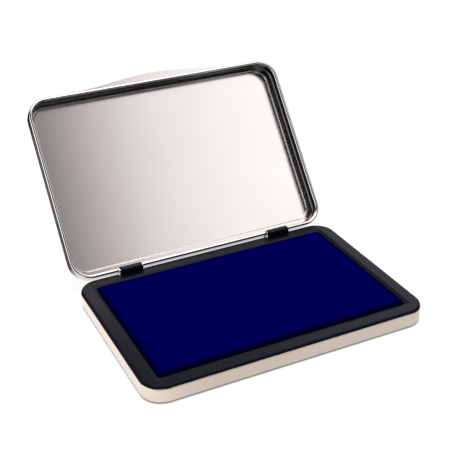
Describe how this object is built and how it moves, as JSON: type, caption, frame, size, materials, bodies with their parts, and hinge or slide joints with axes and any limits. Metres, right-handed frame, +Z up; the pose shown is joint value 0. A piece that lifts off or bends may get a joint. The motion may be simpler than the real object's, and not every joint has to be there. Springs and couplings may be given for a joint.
{
  "type": "ink pad",
  "caption": "Rectangular inking pad in a shallow pressed metal case, with a moulded frame around the cloth and a hinged lid with a thumb lip.",
  "frame": {"origin": "middle of the tray's flat underside", "axes": "+Z up, +X to the right along the hinge, +Y towards the hinge at the back"},
  "size_m": [0.124, 0.1415, 0.0761],
  "materials": {
    "case_metal": "satin, bright tinned sheet",
    "frame_plastic": "semi-gloss black moulding",
    "well_plastic": "matte moulding",
    "inked_felt": "felt soaked with blue ink",
    "inked_cloth": "fine woven cloth wet with blue ink",
    "pin_steel": "drawn wire"
  },
  "bodies": {
    "base": {"base_tray": "case_metal", "ink_well": "well_plastic", "felt_core": "inked_felt", "pad_cloth": "inked_cloth", "pad_frame": "frame_plastic"},
    "lid": {"lid_shell": "case_metal", "left_hinge_pin": "pin_steel", "right_hinge_pin": "pin_steel"}
  },
  "joints": [
    {"name": "lid_hinge", "type": "hinge", "parent": "base", "child": "lid", "pos_m": [0, 0.04203, 0.00827], "axis": [1, 0, 0], "range_deg": [0, 129]}
  ]
}
